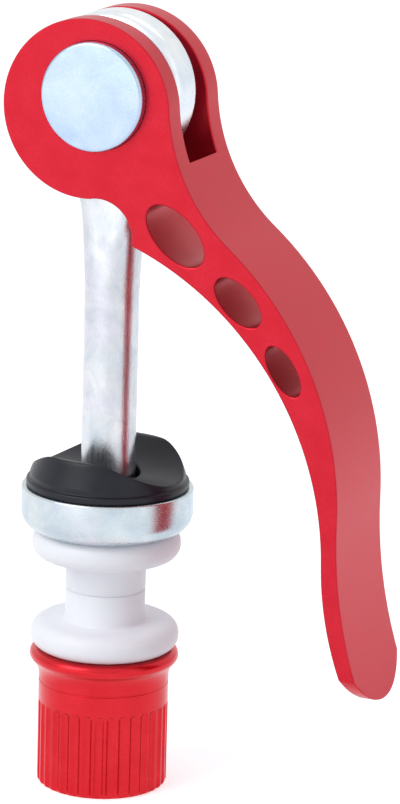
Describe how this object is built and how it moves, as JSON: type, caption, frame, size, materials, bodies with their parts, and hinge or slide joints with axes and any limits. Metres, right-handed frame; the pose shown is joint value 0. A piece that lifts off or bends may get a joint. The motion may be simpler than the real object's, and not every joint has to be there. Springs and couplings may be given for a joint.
{
  "type": "seatpost clamp quick release",
  "caption": "Quick-release skewer for a seatpost clamp: a forked cam lever on an eye bolt, with a cam saddle in a steel cup, flanged bushes and a knurled thumb nut.",
  "frame": {"origin": "on the skewer's axis where the tubes of the two bushes meet, the middle of the clamp that the skewer closes", "axes": "+Z along the skewer from the thumb nut to the cam lever; +X the way the lever's arm reaches when closed; Y along the cam's pin, with the pin's proud end facing -Y"},
  "size_m": [0.0439, 0.019, 0.087],
  "materials": {
    "zinc_steel": "bluish zinc plating, satin",
    "zinc_steel_pin": "bluish zinc plating, satin",
    "red_aluminium": "red anodised",
    "black_plastic": "moulded, slightly glossy",
    "white_nylon": "moulded nylon, satin"
  },
  "bodies": {
    "thumb_nut": {"thumb_nut": "red_aluminium"},
    "lower_bush": {"lower_bush": "white_nylon"},
    "skewer": {"skewer_bolt": "zinc_steel", "cross_pin": "zinc_steel_pin"},
    "lever": {"lever": "red_aluminium"},
    "upper_bush": {"upper_bush": "white_nylon"},
    "cup": {"cup_washer": "zinc_steel"},
    "saddle": {"cam_saddle": "black_plastic"}
  },
  "joints": [
    {"name": "nut_turn", "type": "hinge", "parent": "thumb_nut", "child": "lower_bush", "pos_m": [0, 0, -0.00685], "axis": [0, 0, 1], "range_deg": [0, 3600]},
    {"name": "thread_lift", "type": "slide", "parent": "lower_bush", "child": "skewer", "axis": [0, 0, 1], "range_m": [0, 0.01]},
    {"name": "lever_pivot", "type": "hinge", "parent": "skewer", "child": "lever", "pos_m": [0, 0, 0.05585], "axis": [0, -1, 0], "range_deg": [0, 275]},
    {"name": "upper_bush_slide", "type": "slide", "parent": "lower_bush", "child": "upper_bush", "axis": [0, 0, 1], "range_m": [0, 0.014]},
    {"name": "cup_slide", "type": "slide", "parent": "upper_bush", "child": "cup", "axis": [0, 0, 1], "range_m": [0, 0.003]},
    {"name": "saddle_turn", "type": "hinge", "parent": "cup", "child": "saddle", "pos_m": [0, 0, 0.012], "axis": [0, 0, 1], "continuous": true}
  ],
  "couplings": [
    {"joint": "thread_lift", "follows": "nut_turn", "m_per_rad": 0.00015915}
  ]
}
